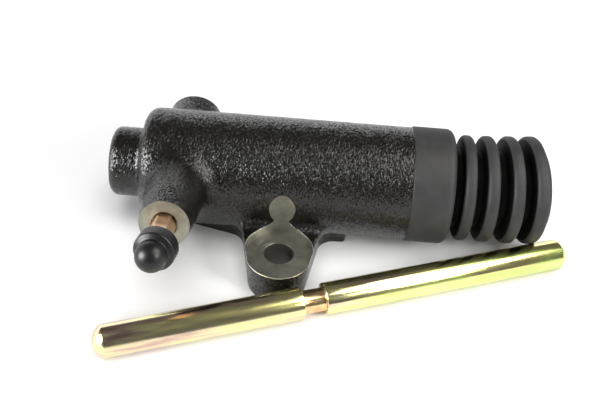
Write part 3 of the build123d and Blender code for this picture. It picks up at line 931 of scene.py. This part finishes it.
def dress(name, made):
    """Puts a material on a CAD node that is shown as it is."""
    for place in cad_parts[name].material_slots:
        place.material = made


make_housing()
make_boot()
make_rod()
make_bleeder()
make_cap()
make_spring()
dress("piston", ALLOY)
dress("primary_cup", SEAL)
dress("secondary_seal", SEAL)
dress("spring_seat", SPRING)
dress("retaining_ring", RING)


# Camera, floor and light

WORLD_SOFT = 0.55
WORLD_REFLECTED = 0.12
WORLD_BACKDROP = 1.8
BACKDROP_SIDE = (-0.6, 1, -1.6)
LIGHT_AIM = (0, 0, 0.02)
LEFT_LIGHT = Vector((-0.83, -0.41, 0.38)) * 0.6
RIGHT_LIGHT = Vector((0.70, -0.46, 0.54)) * 0.6
OVERHEAD_LIGHT = Vector((0.62, -0.04, 0.79)) * 0.65
TOP_LIGHT = Vector((0.0, -0.22, 0.8))
FRONT_LIGHT = Vector((0.72, -0.50, 0.26))


def look(elevation_deg, yaw_deg, roll_deg):
    """A camera turn from its angles: yaw 0 looks along +Y, elevation is down."""
    down = math.radians(elevation_deg)
    yaw = math.radians(yaw_deg)
    roll = math.radians(roll_deg)
    ahead = Vector((math.sin(yaw) * math.cos(down), math.cos(yaw) * math.cos(down), -math.sin(down)))
    right = Vector((math.cos(yaw), -math.sin(yaw), 0))
    up = right.cross(ahead)
    side = right * math.cos(roll) + up * math.sin(roll)
    top = up * math.cos(roll) - right * math.sin(roll)
    return Matrix((side, top, -ahead)).transposed()


def add_camera():
    """The photograph's viewpoint, solved from the part's outline in it."""
    made = bpy.data.objects.new("camera", bpy.data.cameras.new("camera"))
    bpy.context.collection.objects.link(made)
    made.data.sensor_width = 36.0
    made.data.sensor_fit = "HORIZONTAL"
    made.data.lens = 57.29
    made.data.clip_start = 0.01
    place = Matrix.Translation(Vector((5.4, -235.9, 212.7)) * MM)
    made.matrix_world = place @ look(40.77, -0.17, 4.46).to_4x4()
    bpy.context.scene.camera = made


def add_light(name, place, target, size, power, colour=(1, 1, 1)):
    """A rectangular lamp that faces its target."""
    lamp = bpy.data.lights.new(name, "AREA")
    lamp.shape = "RECTANGLE"
    lamp.size, lamp.size_y = size
    lamp.energy = power
    lamp.color = colour
    made = bpy.data.objects.new(name, lamp)
    bpy.context.collection.objects.link(made)
    made.location = place
    made.rotation_euler = (Vector(target) - Vector(place)).to_track_quat("-Z", "Y").to_euler()
    return made


def add_floor():
    """The white table, a tenth of a millimetre below the part."""
    bpy.ops.mesh.primitive_plane_add(size=6, location=(0, 0, -0.0001))
    floor = bpy.context.object
    floor.name = "floor"
    made, tree, shader = material("floor_white")
    shader.inputs["Base Color"].default_value = (0.97, 0.97, 0.97, 1)
    shader.inputs["Roughness"].default_value = 0.7
    shader.inputs["Specular IOR Level"].default_value = 0.2
    floor.data.materials.append(made)


def set_world():
    """White to the camera, soft on the part; in reflections a dark room with a white backdrop."""
    world = bpy.data.worlds.new("studio")
    bpy.context.scene.world = world
    world.use_nodes = True
    tree = world.node_tree
    output = tree.nodes["World Output"]
    soft = tree.nodes["Background"]
    soft.inputs["Color"].default_value = (1, 1, 1, 1)
    soft.inputs["Strength"].default_value = WORLD_SOFT
    dark = tree.nodes.new("ShaderNodeBackground")
    behind = tree.nodes.new("ShaderNodeVectorMath")
    behind.operation = "DOT_PRODUCT"
    behind.inputs[1].default_value = BACKDROP_SIDE
    tree.links.new(tree.nodes.new("ShaderNodeTexCoord").outputs["Generated"], behind.inputs[0])
    stops = [(0.3, grey(WORLD_REFLECTED)), (0.45, grey(WORLD_BACKDROP))]
    tree.links.new(ramp(tree, behind.outputs["Value"], stops), dark.inputs["Color"])
    seen = tree.nodes.new("ShaderNodeBackground")
    seen.inputs["Color"].default_value = (1, 1, 1, 1)
    rays = tree.nodes.new("ShaderNodeLightPath")
    reflected = tree.nodes.new("ShaderNodeMixShader")
    tree.links.new(rays.outputs["Is Glossy Ray"], reflected.inputs["Fac"])
    tree.links.new(soft.outputs["Background"], reflected.inputs[1])
    tree.links.new(dark.outputs["Background"], reflected.inputs[2])
    final = tree.nodes.new("ShaderNodeMixShader")
    tree.links.new(rays.outputs["Is Camera Ray"], final.inputs["Fac"])
    tree.links.new(reflected.outputs["Shader"], final.inputs[1])
    tree.links.new(seen.outputs["Background"], final.inputs[2])
    tree.links.new(final.outputs["Shader"], output.inputs["Surface"])


bpy.context.scene.view_settings.view_transform = "Standard"
add_camera()
add_floor()
set_world()
# Two softboxes are seen in reflections only, and the top and front lamps only light the surfaces
left = add_light("left_softbox", LEFT_LIGHT, LIGHT_AIM, (0.3, 0.3), 8.0)
left.visible_diffuse = False
add_light("right_softbox", RIGHT_LIGHT, LIGHT_AIM, (0.14, 0.14), 1.5)
overhead = add_light("overhead_softbox", OVERHEAD_LIGHT, LIGHT_AIM, (0.42, 0.42), 3.8, (1, 0.97, 0.9))
overhead.visible_diffuse = False
top = add_light("top_light", TOP_LIGHT, LIGHT_AIM, (0.6, 0.6), 4.2)
top.visible_glossy = False
front = add_light("front_fill", FRONT_LIGHT, (0.03, 0, 0), (0.5, 0.3), 2.2)
front.visible_glossy = False
